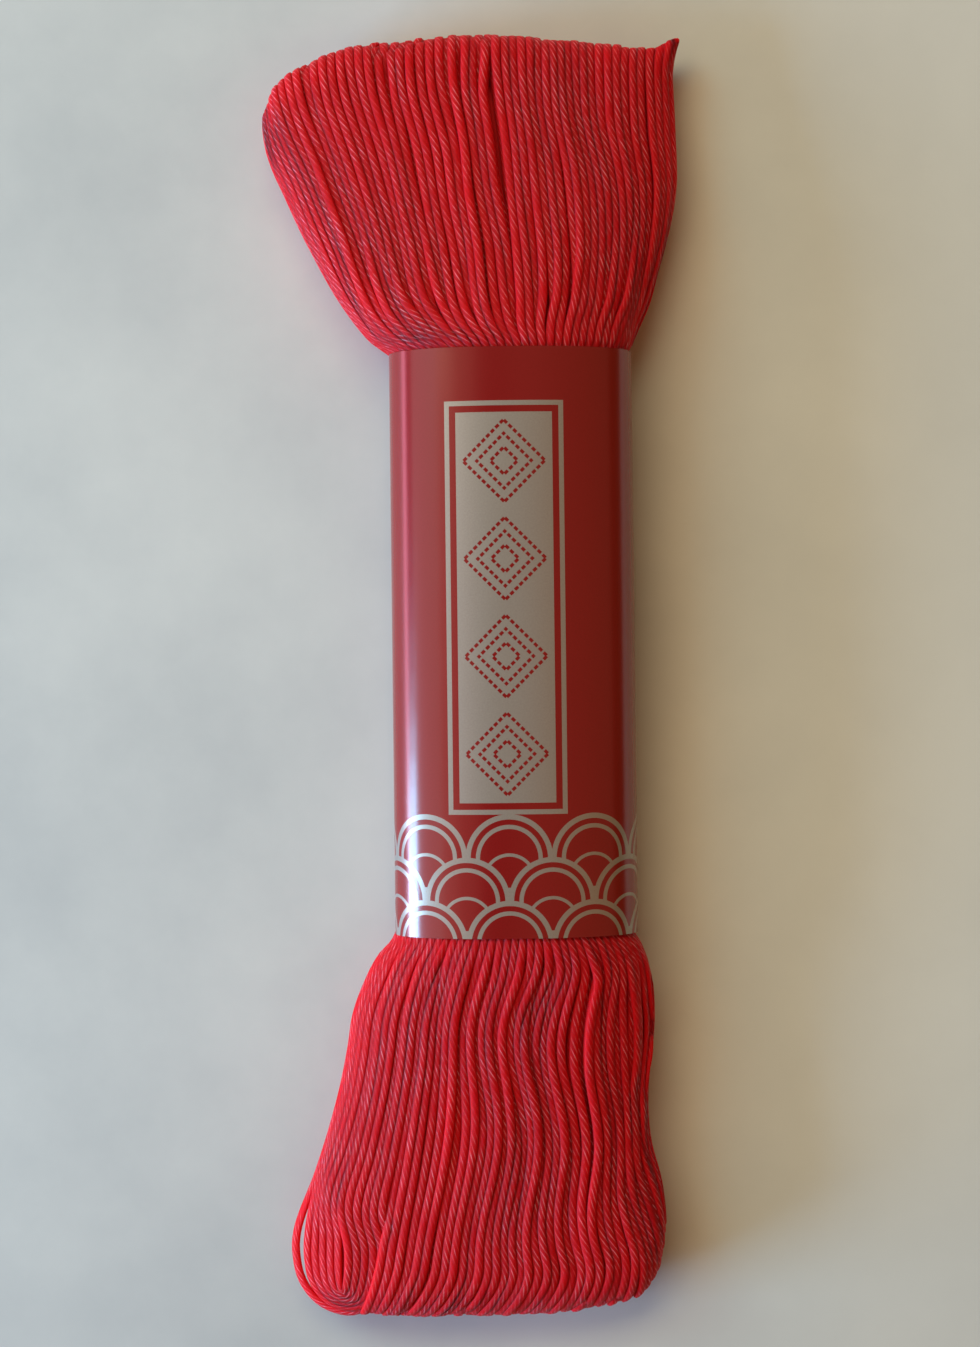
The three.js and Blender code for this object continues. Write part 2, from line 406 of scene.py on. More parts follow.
def section_heights(across, height, inset):
    """Heights of a section's top, underside and widest line, at places from -1 (left) to 1 (right)."""
    side = np.clip(np.abs(across), 0, 1)
    crown = (1 - side ** CROWN_POWER) ** (1 / CROWN_POWER)
    under = (1 - side ** UNDERSIDE_POWER) ** (1 / UNDERSIDE_POWER)
    widest = WIDEST_AT * height
    top = widest + (height - inset - widest) * crown
    bottom = np.maximum(inset, widest - (widest - inset + UNDERSIDE_PRESS) * under)
    return top, bottom, widest


def in_band_frame(x, y):
    """A place in the band's own frame, seen from above, put into the part's frame."""
    c, s = math.cos(BAND_TURN), math.sin(BAND_TURN)
    return BAND_CENTRE[0] + c * x - s * y, BAND_CENTRE[1] + s * x + c * y


def band_row(y):
    """A section of the thread under the band, as a row of a fan."""
    left = in_band_frame(-BAND_WIDTH / 2, y)
    right = in_band_frame(BAND_WIDTH / 2, y)
    return (*left, *right, BAND_HEIGHT)


def even_across(half_width, height, part):
    """Places across a section that divide its top (part 0) or underside (part 1) evenly along its curve."""
    across = -np.cos(np.linspace(0, np.pi, SECTION_POINTS))
    z = section_heights(across, height, STRAND_RADIUS)[part]
    steps = np.hypot(np.diff(across * half_width), np.diff(z))
    run = np.concatenate([[0], np.cumsum(steps)])
    return np.interp(np.linspace(0, run[-1], SHARE_STEPS + 1), run, across)


class Fan:
    """One fan of thread, from its end to inside the band, as tables over its length and width."""

    def __init__(self, rows, end, band_end):
        edge = band_end * BAND_LENGTH / 2
        rows = np.vstack([rows, band_row(edge), band_row(edge - band_end * INTO_BAND)])
        self.last = len(rows) - 1
        self.index = np.arange(ALONG_STEPS + 1.0)
        along = np.linspace(0, self.last, ALONG_STEPS + 1)
        left = through(rows[:, [0, 1, 4]], along)
        right = through(rows[:, [2, 3, 4]], along)
        self.height = left[:, 2]
        self.span = right[:, :2] - left[:, :2]
        self.width = np.linalg.norm(self.span, axis=1)
        self.plan = self.seen_from_above(along, left, end)
        steps = np.linalg.norm(np.diff(self.plan, axis=1), axis=2)
        self.from_end = np.concatenate([np.zeros((SHARE_STEPS + 1, 1)), np.cumsum(steps, axis=1)], axis=1)
        self.even = [np.array([even_across(w / 2, h, part) for w, h in zip(self.width, self.height)])
                     for part in (0, 1)]
        widest = self.width.max()
        narrow = (widest / self.width - 1) / (widest / BAND_WIDTH - 1)
        self.crowd = np.clip(narrow, 0, 1) ** CROWD_POWER
        self.squeeze = UNDER_PAPER * smoothstep(along, self.last - PRESS_FROM_ROW, self.last - PRESS_TO_ROW)

    def seen_from_above(self, along, left, end):
        """Places over the fan's width and length, straight across it but for the curve of its end."""
        share = np.linspace(0, 1, SHARE_STEPS + 1)
        dense = through(end, np.linspace(0, len(end) - 1, END_POINTS))
        run = run_along(dense)
        curve = points_at(share * run[-1], run, dense)
        bulge = curve - (end[0] + share[:, None] * (end[-1] - end[0]))
        fade = 1 - smoothstep(along, 0, END_REACH)
        straight = left[None, :, :2] + share[:, None, None] * self.span[None]
        return straight + bulge[:, None] * fade[None, :, None]

    def along_at(self, share, distance):
        """Places along the fan at distances from its end, for strands that start at shares of its width."""
        out = np.empty_like(distance)
        for i, s in enumerate(share):
            reach = lookup(self.from_end, np.full(len(self.index), s * SHARE_STEPS), self.index)
            out[i] = np.interp(distance[i], reach, self.index)
        return out

    def points(self, place, even, lift, inset, sideways=0):
        """Points of strands. place counts the steps along the fan, even is a strand's place across its top
        and underside, lift is 1 on the top, -1 underneath and between them in the turn."""
        under = (1 - lift) / 2
        across = (lookup(self.even[0], place, even * SHARE_STEPS) * (1 - under)
                  + lookup(self.even[1], place, even * SHARE_STEPS) * under)
        width = np.interp(place, self.index, self.width)
        height = np.interp(place, self.index, self.height)
        inset = inset + np.interp(place, self.index, self.squeeze)
        across = np.clip(across + 2 * sideways / width, -1, 1)
        plan = lookup(self.plan, (across + 1) / 2 * SHARE_STEPS, place)
        direction = points_at(place, self.index, self.span / self.width[:, None])
        plan = plan - direction * (inset * across)[..., None]
        top, bottom, widest = section_heights(across, height, inset)
        z = widest + np.where(lift > 0, (top - widest) * lift, (widest - bottom) * lift)
        return np.concatenate([plan, z[..., None]], axis=-1)


def smooth_noise(rng, shape, across, along):
    """Random values, smooth over so many strands and points, about 1 in size."""
    values = rng.standard_normal(shape)
    for axis, size in ((0, across), (1, along)):
        reach = int(3 * size) + 1
        kernel = np.exp(-0.5 * (np.arange(-reach, reach + 1) / size) ** 2)
        padded = np.pad(values, [(reach, reach) if k == axis else (0, 0) for k in (0, 1)], mode="reflect")
        values = np.apply_along_axis(np.convolve, axis, padded, kernel, mode="valid")
    return values / values.std()


def band_hold(to_band):
    """How hard the band holds strands, at distances to it."""
    return 1 - smoothstep(to_band, *BAND_HOLD_ALONG)


def pack(sinks, start, end):
    """Places across a fan, from start to end, that space strands that sink evenly, and the others too."""
    places = np.empty(len(sinks))
    for group in (sinks, ~sinks):
        places[group] = start + (end - start) * (np.arange(group.sum()) + 0.5) / group.sum()
    return places


class Course:
    """How one layer's strands go: out of the band, over the top, round the fan's end and back under."""

    def __init__(self, fan, rng, layer, habit):
        total = habit["strands"][layer]
        home = (np.arange(total) + LAYER_STARTS[layer % 2]) / (total - LAYER_SPARE)
        home = home[(home >= habit["starts"][layer]) & (home < 1)]
        self.home = home[:, None]
        self.count = len(home)
        self.shape = (self.count, STRAND_POINTS)
        self.inset = STRAND_RADIUS + layer * LAYER_STEP
        angle = np.linspace(0, np.pi, TURN_POINTS + 2)[1:-1]
        lift = np.concatenate([np.ones(PASS_POINTS), np.cos(angle), -np.ones(PASS_POINTS)])
        self.lift = np.broadcast_to(lift, self.shape)
        tuft = rng.uniform(0, 1, (self.count, 1))
        self.bare = habit["bared"] * (layer > 0) * (1 - smoothstep(self.home, *BARED_ENDS))
        self.short = layer * END_STEP + END_UNEVEN * (tuft + np.roll(tuft, 1, axis=0)) / 2 + self.bare
        share = (lookup(fan.even[0], np.full(self.count, SHARES_AT), home * SHARE_STEPS) + 1) / 2
        reach = lookup(fan.from_end, share * SHARE_STEPS, np.full(self.count, fan.index[-1]))[:, None]
        turn = fan.height[0] / 2 - self.inset
        flat = self.short + turn + (reach - self.short - turn) * np.linspace(1, 0, PASS_POINTS)
        over = self.short + turn * (1 - np.sin(angle))
        self.distance = np.concatenate([flat, over, flat[:, ::-1]], axis=1)
        self.to_band = reach - INTO_BAND - self.distance
        self.free = smoothstep(self.to_band, *FREE_ALONG)
        self.place = fan.along_at(share, self.distance)
        self.crowd = np.interp(self.place, fan.index, fan.crowd)
        self.sinks = (np.arange(self.count) * SUNK_STEP + SUNK_START) % 1 < SUNK_SHARE


def even_places(course, start, habit):
    """Places across the fan: gathered into tufts at its end, and packed where it narrows."""
    packed = pack(course.sinks, start, 1)[:, None]
    waves = 2 * np.pi * habit["bunches"]
    gather = habit["bunching"] / waves * np.sin(waves * course.home)
    narrowed = course.home + (packed - course.home) * course.crowd
    return narrowed + gather * np.exp(-course.distance / BUNCH_REACH)


def riding(course, rng, layer, habit):
    """How far strands lie on top of the others, which a few of the uppermost layer do."""
    rides = np.zeros((course.count, 1))
    if layer == 0:
        rides[rng.choice(course.count, habit["riders"], replace=False)] = 1
    return rides * smoothstep(course.distance, *RIDER_ALONG) * course.free


def strayed(course, rng, habit, drift, rides):
    """How far strands stray sideways, less towards the fan's edges and the band."""
    own = rng.lognormal(0, WANDER_SPREAD, (course.count, 1)) + RIDER_WANDER * rides
    wander = lookup(drift, np.broadcast_to(course.home * SHARE_STEPS, course.shape),
                    np.broadcast_to(np.arange(STRAND_POINTS + 0.0), course.shape))
    wander = wander + habit["wander"] * own * smooth_noise(rng, course.shape, *WANDER_SIZE)
    wander = wander + habit["waver"] * smooth_noise(rng, course.shape, *WAVER_SIZE)
    sway = np.sin(2 * np.pi * (course.distance - SWAY_AT) / SWAY_LENGTH)
    sway = sway * smoothstep(course.distance, *SWAY_ALONG) * (course.lift > 0)
    wander = wander + habit["sway"] * sway * smoothstep(course.home, *SWAY_ACROSS)
    edge = habit["starts"][0]
    inner = np.sin(np.pi * np.clip((course.home - edge) / (1 - edge), 0, 1))
    return inner * wander * course.free


def slanted(course, habit):
    """How far strands move sideways as they turn over the end."""
    past_end = (course.distance - course.short) * np.sign(course.lift)
    leaning = 1 - smoothstep(past_end, -LEAN_REACH, LEAN_REACH)
    kept = 1 - LEAN_LOSS * smoothstep(course.home, *LEAN_ENDS)
    lean = -habit["lean"] * smoothstep(course.home, *LEAN_ACROSS) * kept * leaning
    corner = habit["corner"] * np.exp(-(course.home / CORNER_SHARE) ** 2)
    return lean + corner * np.minimum(leaning, 1 - leaning)


def parted(course, habit):
    """How far strands on the top stand aside from the line of the parting."""
    aside = (course.home - PARTING_AT) / PARTING_SHARE
    apart = habit["parting"] * np.sign(aside) * np.exp(-np.abs(aside)) * (course.lift > 0)
    begins = smoothstep(course.distance, *PARTING_BEGINS)
    return apart * begins * (1 - smoothstep(course.distance, *PARTING_ENDS))


def depths(course, rng, layer, habit, rides):
    """How deep strands lie in the fan."""
    depth = course.inset + layer * (BAND_STEP - LAYER_STEP) * course.crowd
    depth = depth + HALF_LAYER * course.crowd * course.sinks[:, None]
    depth = depth + BARED_SINK * course.bare * (1 + course.lift) / 2
    uneven = course.free * habit["depth"] * smooth_noise(rng, course.shape, *WANDER_SIZE)
    return depth + uneven - RIDER_LIFT * rides


def lay_strands(fan, rng, layer, habit, drift):
    """Strands of one layer. Returns their points, how hard they are held there, and how much of their
    thickness they keep, since soft thread flattens in a turn."""
    course = Course(fan, rng, layer, habit)
    even = even_places(course, habit["starts"][layer], habit)
    rides = riding(course, rng, layer, habit)
    sideways = strayed(course, rng, habit, drift, rides) + slanted(course, habit) + parted(course, habit)
    depth = depths(course, rng, layer, habit, rides)
    girth = 1 - END_SOFTNESS * np.exp(-course.distance / BEND_REACH)
    hold = GRIP + CROWD_GRIP * course.crowd + END_GRIP * (1 - np.abs(course.lift))
    hold = hold + band_hold(course.to_band)
    hold = hold + EDGE_GRIP * smoothstep(np.abs(2 * course.home - 1), *EDGE_ACROSS)
    return fan.points(course.place, even, course.lift, depth, sideways), hold, girth


def corner_legs(fan):
    """The loose loops' legs, which come out of the band on the top, from left to right."""
    leg = np.linspace(ALONG_STEPS, CORNER_FROM_ROW * ALONG_STEPS / fan.last, LEG_POINTS)
    crowd = np.interp(leg, fan.index, fan.crowd)
    count = len(CORNER_NEST)
    homes = np.concatenate([np.linspace(*CORNER_LEFT_HOME, count), np.linspace(*CORNER_RIGHT_HOME, count)])
    sinks = np.arange(2 * count) % LEGS_TO_SUNK_ONE == 1
    packed = pack(sinks, 0, HABITS["lower"]["starts"][0])
    legs = []
    for home, place, sunk in zip(homes, packed, sinks):
        depth = STRAND_RADIUS + HALF_LAYER * crowd * sunk
        legs.append(fan.points(leg, home + (place - home) * crowd, np.ones(LEG_POINTS), depth))
    return legs


def corner_loops(fan):
    """The loose loops on the lower left corner, from the outermost to the innermost, as lay_strands returns
    its strands."""
    legs = corner_legs(fan)
    loops, holds = [], []
    for k, nest in enumerate(CORNER_NEST):
        corner = CORNER_OUTER + nest * (CORNER_INNER - CORNER_OUTER)
        guide = np.vstack([legs[k], corner, legs[-1 - k][::-1]])
        path = through(guide, np.linspace(0, len(guide) - 1, LOOP_POINTS))
        run = run_along(path)
        at = np.linspace(0, run[-1], STRAND_POINTS)
        loops.append(points_at(at, run, path))
        holds.append(LOOP_GRIP + band_hold(np.minimum(at, run[-1] - at) - INTO_BAND))
    return np.array(loops), np.array(holds), np.ones((len(loops), STRAND_POINTS))


def pull_tip(fan, points):
    """The upper right corner drawn out to a point."""
    corner = fan.plan[-1, 0]
    away = np.linalg.norm(points[..., :2] - corner, axis=-1)
    points[..., :2] += TIP_PULL * np.clip(1 - away / TIP_REACH, 0, 1)[..., None] ** 2


def close_pairs(points, strand, order, reach):
    """Pairs of points of different strands, or of far places on one strand, that are closer than reach.
    Points are sorted into cells of that size, and each cell is searched with those beside it."""
    cell = np.floor((points - points.min(0)) / reach).astype(np.int64) + 1
    size = cell.max(0) + 2
    key = (cell[:, 0] * size[1] + cell[:, 1]) * size[2] + cell[:, 2]
    sort = np.argsort(key, kind="stable")
    keys = key[sort]
    beside = (-1, 0, 1)
    steps = [(dx * size[1] + dy) * size[2] + dz for dx in beside for dy in beside for dz in beside]
    first, second = [], []
    for step in steps:
        if step < 0:
            continue
        low = np.searchsorted(keys, keys + step, "left")
        high = np.searchsorted(keys, keys + step, "right")
        counts = high - low
        a = np.repeat(np.arange(len(keys)), counts)
        in_cell = np.arange(counts.sum()) - np.repeat(np.cumsum(counts) - counts, counts)
        b = in_cell + np.repeat(low, counts)
        keep = b > a if step == 0 else np.ones(len(a), bool)
        first.append(sort[a[keep]])
        second.append(sort[b[keep]])
    a, b = np.concatenate(first), np.concatenate(second)
    near = ((points[a] - points[b]) ** 2).sum(1) < reach ** 2
    apart = (strand[a] != strand[b]) | (np.abs(order[a] - order[b]) > MEETING_POINTS)
    return a[near & apart], b[near & apart]


def settle(strands, grip, girth):
    """Strands pushed apart where they overlap, smoothly, and held near where they were laid."""
    count, length, _ = strands.shape
    laid = strands.reshape(-1, 3).copy()
    points = laid.copy()
    strand = np.repeat(np.arange(count), length)
    order = np.tile(np.arange(length), count)
    hold = np.clip(grip, 0, 1).reshape(-1, 1)
    loose = hold[:, 0] < FIRM_HOLD
    radius = SIDE_BY_SIDE / 2 * girth.reshape(-1)
    for step in range(SETTLE_STEPS):
        if step % PAIRS_EVERY == 0:
            a, b = close_pairs(points, strand, order, SIDE_BY_SIDE + PAIR_SLACK)
            keep = loose[a] | loose[b]
            a, b = a[keep], b[keep]
        gap = (points[b] - points[a]) * (1, 1, STACKED)
        far = np.maximum(np.linalg.norm(gap, axis=1), 1e-6)
        push = np.maximum(radius[a] + radius[b] - far, 0) * PUSH_SHARE / far
        for axis, give in enumerate((1, 1, LIFT_SHARE)):
            shift = push * gap[:, axis] * give
            points[:, axis] += np.bincount(b, shift, len(points)) - np.bincount(a, shift, len(points))
        moved = (points - laid).reshape(count, length, 3)
        moved[:, 1:-1] += SMOOTHING * (0.5 * (moved[:, :-2] + moved[:, 2:]) - moved[:, 1:-1])
        points = laid + (1 - hold) * moved.reshape(-1, 3)
        points[:, 2] = np.maximum(points[:, 2], STRAND_RADIUS)
    return points.reshape(count, length, 3)


def build_mesh(name, points, faces, uv_name=None, uv=None):
    """A smooth piece that rides on the part's body, with a map if one is given."""
    mesh = bpy.data.meshes.new(name)
    mesh.from_pydata(np.asarray(points) * MM, [], faces)
    if uv is not None:
        layer = mesh.uv_layers.new(name=uv_name)
        layer.data.foreach_set("uv", np.asarray(uv, dtype=np.float32).ravel())
    mesh.shade_smooth()
    piece = bpy.data.objects.new(name, mesh)
    bpy.context.collection.objects.link(piece)
    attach(piece, "root")
    return piece


def strand_directions(strands):
    """At each point, the smoothed direction to the strands beside it, and the one out of their surface."""
    tangent = np.gradient(strands, axis=1)
    tangent /= np.linalg.norm(tangent, axis=2, keepdims=True)
    beside = np.gradient(strands, axis=0)
    beside = beside / np.linalg.norm(beside, axis=2, keepdims=True)
    for _ in range(SURFACE_ROUNDS):
        beside[1:-1] = (beside[:-2] + 2 * beside[1:-1] + beside[2:]) / 4
        beside[:, 1:-1] = (beside[:, :-2] + 2 * beside[:, 1:-1] + beside[:, 2:]) / 4
    beside -= (beside * tangent).sum(2, keepdims=True) * tangent
    beside /= np.linalg.norm(beside, axis=2, keepdims=True)
    return beside, np.cross(tangent, beside)


def strand_map(strands, rng, sides):
    """The tubes' map, for each corner of their faces: once round a strand, and millimetres along it."""
    count, length, _ = strands.shape
    steps = np.linalg.norm(np.diff(strands, axis=1), axis=2)
    run = np.concatenate([np.zeros((count, 1)), np.cumsum(steps, axis=1)], axis=1)
    run = run + rng.uniform(0, PLY_STARTS, (count, 1))
    shape = (count, length - 1, sides)
    left = np.broadcast_to(np.arange(sides) / sides, shape)
    right = left + 1 / sides
    low = np.broadcast_to(run[:, :-1, None], shape)
    high = np.broadcast_to(run[:, 1:, None], shape)
    corners = ((left, low), (right, low), (right, high), (left, high))
    return np.stack([np.stack(corner, -1) for corner in corners], axis=3).reshape(-1, 2)


def tubes(name, strands, rng, sides):
    """Strands as tubes with closed ends, flattened along the surface that they lie in side by side."""
    count, length, _ = strands.shape
    beside, outward = strand_directions(strands)
    turn = 2 * np.pi * np.arange(sides) / sides
    pressed = np.abs(np.cos(turn)) ** PRESSED_POWER + np.abs(np.sin(turn)) ** PRESSED_POWER
    pressed = pressed ** (-1 / PRESSED_POWER)
    wide = STRAND_RADIUS * FLATNESS * pressed * np.cos(turn)
    tall = STRAND_RADIUS / FLATNESS * pressed * np.sin(turn)
    points = strands[:, :, None] + wide[:, None] * beside[:, :, None] + tall[:, None] * outward[:, :, None]
    index = np.arange(count * length * sides).reshape(count, length, sides)
    after = np.roll(index, -1, axis=2)
    quads = np.stack([index[:, :-1], after[:, :-1], after[:, 1:], index[:, 1:]], axis=-1).reshape(-1, 4)
    caps = np.concatenate([index[:, 0, ::-1], index[:, -1]])
    uv = np.concatenate([strand_map(strands, rng, sides), np.zeros((caps.size, 2))])
    piece = build_mesh(name, points.reshape(-1, 3), quads.tolist() + caps.tolist(), "Strand", uv)
    tone = piece.data.attributes.new("tone", "FLOAT", "POINT")
    tone.data.foreach_set("value", np.repeat(rng.uniform(0, 1, count), length * sides).astype(np.float32))
    return piece


class Shader:
    """A material's nodes, made by short calls."""

    def __init__(self, name):
        self.material = bpy.data.materials.new(name)
        self.material.use_nodes = True
        self.tree = self.material.node_tree
        self.surface = self.tree.nodes["Principled BSDF"]

    def put(self, socket, value):
        if isinstance(value, bpy.types.NodeSocket):
            self.tree.links.new(value, socket)
        else:
            socket.default_value = value

    def add(self, kind, inputs=(), **settings):
        node = self.tree.nodes.new(kind)
        for key, value in settings.items():
            setattr(node, key, value)
        for key, value in dict(inputs).items():
            self.put(node.inputs[key], value)
        return node

    def math(self, operation, *values, clamp=False):
        node = self.add("ShaderNodeMath", operation=operation, use_clamp=clamp)
        for socket, value in zip(node.inputs, values):
            self.put(socket, value)
        return node.outputs[0]

    def mix(self, factor, low, high):
        node = self.add("ShaderNodeMix", data_type="RGBA")
        self.put(node.inputs["Factor"], factor)
        self.put(node.inputs["A"], low)
        self.put(node.inputs["B"], high)
        return node.outputs["Result"]

    def noise(self, place, scale, **inputs):
        return self.add("ShaderNodeTexNoise", {"Vector": place, "Scale": scale, **inputs}).outputs["Fac"]

    def place(self, x, y):
        return self.add("ShaderNodeCombineXYZ", {"X": x, "Y": y}).outputs[0]

    def map_xy(self, name):
        split = self.add("ShaderNodeSeparateXYZ")
        self.put(split.inputs[0], self.add("ShaderNodeUVMap", uv_map=name).outputs["UV"])
        return split.outputs["X"], split.outputs["Y"]

    def set(self, **values):
        for key, value in values.items():
            self.put(self.surface.inputs[key.replace("_", " ")], value)


def rgb(red, green, blue):
    """An sRGB colour, 0 to 255, as linear values."""
    def linear(v):
        v /= 255
        return v / 12.92 if v < 0.04045 else ((v + 0.055) / 1.055) ** 2.4
    return (linear(red), linear(green), linear(blue), 1.0)


def thread_material():
    """Matt cotton with twisted plies, painted darker in their grooves as shade, with painted highlights
    glinting on their ridges.
    """
    shader = Shader("red_cotton_thread")
    around, along = shader.map_xy("Strand")
    twist = shader.math("MULTIPLY_ADD", along, 1 / PLY_LEAD, around)
    plies = shader.math("COSINE", shader.math("MULTIPLY", twist, 2 * math.pi * PLIES))
    ridge = shader.math("MULTIPLY_ADD", plies, 0.5, 0.5)
    fibre_at = shader.place(shader.math("MULTIPLY", twist, FIBRES_AROUND),
                            shader.math("MULTIPLY", along, FIBRES_ALONG))
    fibre = shader.noise(fibre_at, 1.0, Detail=4.0, Roughness=0.65)
    tone = shader.add("ShaderNodeAttribute", attribute_name="tone").outputs["Fac"]
    patch_at = shader.place(shader.math("MULTIPLY", tone, PATCHES_APART),
                            shader.math("MULTIPLY", along, PATCHES_ALONG))
    patch = shader.noise(patch_at, 1.0, Detail=1.0)
    # Painted highlight: a lighter colour is painted as glints on the ply ridges, along fibres and in
    # patches, only round the top and bottom of each strand's section, where light catches it
    crest = shader.math("POWER", shader.math("SINE", shader.math("MULTIPLY", around, 2 * math.pi)), 4.0)
    glint = shader.math("MULTIPLY", shader.math("POWER", ridge, 6.0),
                        shader.math("MULTIPLY_ADD", fibre, *FIBRE_GLINTS, clamp=True))
    glint = shader.math("MULTIPLY", glint, shader.math("MULTIPLY_ADD", patch, *PATCH_GLINTS, clamp=True))
    glint = shader.math("MULTIPLY", glint, crest)
    # Painted shade: the plies are painted darker in their grooves and lighter on their ridges
    groove = shader.math("MULTIPLY", ridge, PLY_GROOVE_SHADE)
    body = shader.math("MULTIPLY_ADD", tone, STRAND_TONES, groove, clamp=True)
    colour = shader.mix(glint, shader.mix(body, THREAD_DARK, THREAD_MIDDLE), THREAD_PAINTED_HIGHLIGHT)
    relief = shader.math("MULTIPLY_ADD", ridge, 0.5, fibre)
    bump = shader.add("ShaderNodeBump", {"Strength": 1.0, "Distance": PLY_DEPTH * MM, "Height": relief})
    shader.set(Base_Color=colour, Normal=bump.outputs["Normal"], Roughness=0.6, Sheen_Weight=0.04,
               Sheen_Roughness=0.4, Sheen_Tint=(1.0, 0.55, 0.6, 1.0), Specular_IOR_Level=0.12,
               Subsurface_Weight=0.9, Subsurface_Radius=(1.0, 0.06, 0.07), Subsurface_Scale=0.0018)
    return shader.material


def core_material():
    """The thread's colours without its plies, for the inside."""
    shader = Shader("thread_inside")
    noise = shader.noise(shader.add("ShaderNodeTexCoord").outputs["Object"], 900.0, Detail=3.0)
    shader.set(Base_Color=shader.mix(noise, THREAD_DARK, THREAD_MIDDLE), Roughness=0.9)
    return shader.material


def between(shader, value, low, high):
    """1 where a value lies between two others, else 0."""
    above = shader.math("GREATER_THAN", value, low)
    return shader.math("MULTIPLY", above, shader.math("LESS_THAN", value, high))


def away_from(shader, x, y):
    """The length of a line that goes x across and y up."""
    squares = shader.math("ADD", shader.math("MULTIPLY", x, x), shader.math("MULTIPLY", y, y))
    return shader.math("SQRT", squares)


def wave_lines(shader, x, y):
    """The traditional pattern of overlapping waves: rows of ringed scales, each before the one above."""
    lines = 0.0
    for row in range(WAVE_ROWS):
        centre = WAVE_TOP - WAVE_RADIUS * (row + 1)
        shift = WAVE_START + WAVE_RADIUS * (row % 2)
        dx = shader.math("WRAP", shader.math("SUBTRACT", x, shift), WAVE_RADIUS, -WAVE_RADIUS)
        dy = shader.math("SUBTRACT", y, centre)
        away = shader.math("SUBTRACT", away_from(shader, dx, dy), WAVE_OVERLAP)
        low = away_from(shader, dx, shader.math("ADD", dy, WAVE_HEART_DROP))
        rim = between(shader, away, WAVE_RADIUS - WAVE_RIM, WAVE_RADIUS)
        ring = between(shader, away, WAVE_RING - WAVE_RING_LINE, WAVE_RING)
        heart = between(shader, low, WAVE_HEART - WAVE_HEART_LINE, WAVE_HEART)
        heart = shader.math("MULTIPLY", heart, shader.math("LESS_THAN", away, WAVE_RING))
        scale = shader.math("MAXIMUM", rim, shader.math("MAXIMUM", ring, heart))
        inside = shader.math("LESS_THAN", away, WAVE_RADIUS)
        behind = shader.math("MULTIPLY", lines, shader.math("SUBTRACT", 1.0, inside))
        lines = shader.math("MAXIMUM", behind, shader.math("MULTIPLY", scale, inside))
    return lines


def repeat(shader, value, length):
    """A value's distance from the nearest multiple of a length, with its sign."""
    return shader.math("WRAP", value, length / 2, -length / 2)


def stitch_lines(shader, x, y):
    """A column of nested diamonds in running stitch."""
    pitch = PANEL_LENGTH / DIAMONDS
    dx = shader.math("ABSOLUTE", x)
    dy = shader.math("ABSOLUTE", repeat(shader, shader.math("ADD", y, pitch / 2), pitch))
    out = shader.math("ADD", dx, dy)
    along = repeat(shader, shader.math("SUBTRACT", dx, dy), STITCH)
    sewn = shader.math("LESS_THAN", shader.math("ABSOLUTE", along), STITCH * STITCH_SHARE / 2)
    line = repeat(shader, shader.math("SUBTRACT", out, DIAMOND_STEP), DIAMOND_STEP)
    line = shader.math("LESS_THAN", shader.math("ABSOLUTE", line), STITCH_WIDTH / 2)
    far = shader.math("LESS_THAN", out, DIAMOND_STEP * (DIAMOND_RINGS + 0.5))
    near = shader.math("GREATER_THAN", out, DIAMOND_STEP / 2)
    return shader.math("MULTIPLY", shader.math("MULTIPLY", line, sewn), shader.math("MULTIPLY", near, far))


def silver_print(shader, x, y):
    """1 where the paper's front is printed silver: the stitched panel, its frame and the waves."""
    panel_x = shader.math("SUBTRACT", x, PANEL_CENTRE)
    panel_y = shader.math("SUBTRACT", y, PANEL_BOTTOM + PANEL_LENGTH / 2)
    beyond_x = shader.math("SUBTRACT", shader.math("ABSOLUTE", panel_x), PANEL_WIDTH / 2)
    beyond_y = shader.math("SUBTRACT", shader.math("ABSOLUTE", panel_y), PANEL_LENGTH / 2)
    beyond = shader.math("MAXIMUM", beyond_x, beyond_y)
    panel = shader.math("LESS_THAN", beyond, 0.0)
    unsewn = shader.math("SUBTRACT", 1.0, stitch_lines(shader, panel_x, panel_y))
    panel = shader.math("MULTIPLY", panel, unsewn)
    frame_line = between(shader, beyond, FRAME_GAP, FRAME_GAP + FRAME_LINE)
    silver = shader.math("MAXIMUM", shader.math("MAXIMUM", panel, frame_line), wave_lines(shader, x, y))
    front = shader.math("LESS_THAN", shader.math("ABSOLUTE", x), PRINT_HALF)
    return shader.math("MULTIPLY", silver, front)


def paper_material():
    """Glossy paper printed in red and silver, a little slack."""
    shader = Shader("glossy_printed_paper")
    silver = silver_print(shader, *shader.map_xy("Print"))
    grain_at = shader.add("ShaderNodeUVMap", uv_map="Print").outputs["UV"]
    grain = shader.noise(grain_at, 6.0, Detail=4.0)
    slack = shader.noise(grain_at, 0.12, Detail=2.0)
    red = shader.mix(grain, *(rgb(*colour) for colour in PRINT_RED))
    grey = shader.mix(grain, *(rgb(*colour) for colour in PRINT_SILVER))
    bump = shader.add("ShaderNodeBump", {"Strength": 0.08, "Distance": 0.0004, "Height": slack})
    shader.set(Base_Color=shader.mix(silver, red, grey), Metallic=shader.math("MULTIPLY", silver, 0.45),
               Roughness=shader.math("MULTIPLY_ADD", silver, 0.15, 0.2), IOR=1.75,
               Normal=bump.outputs["Normal"])
    return shader.material


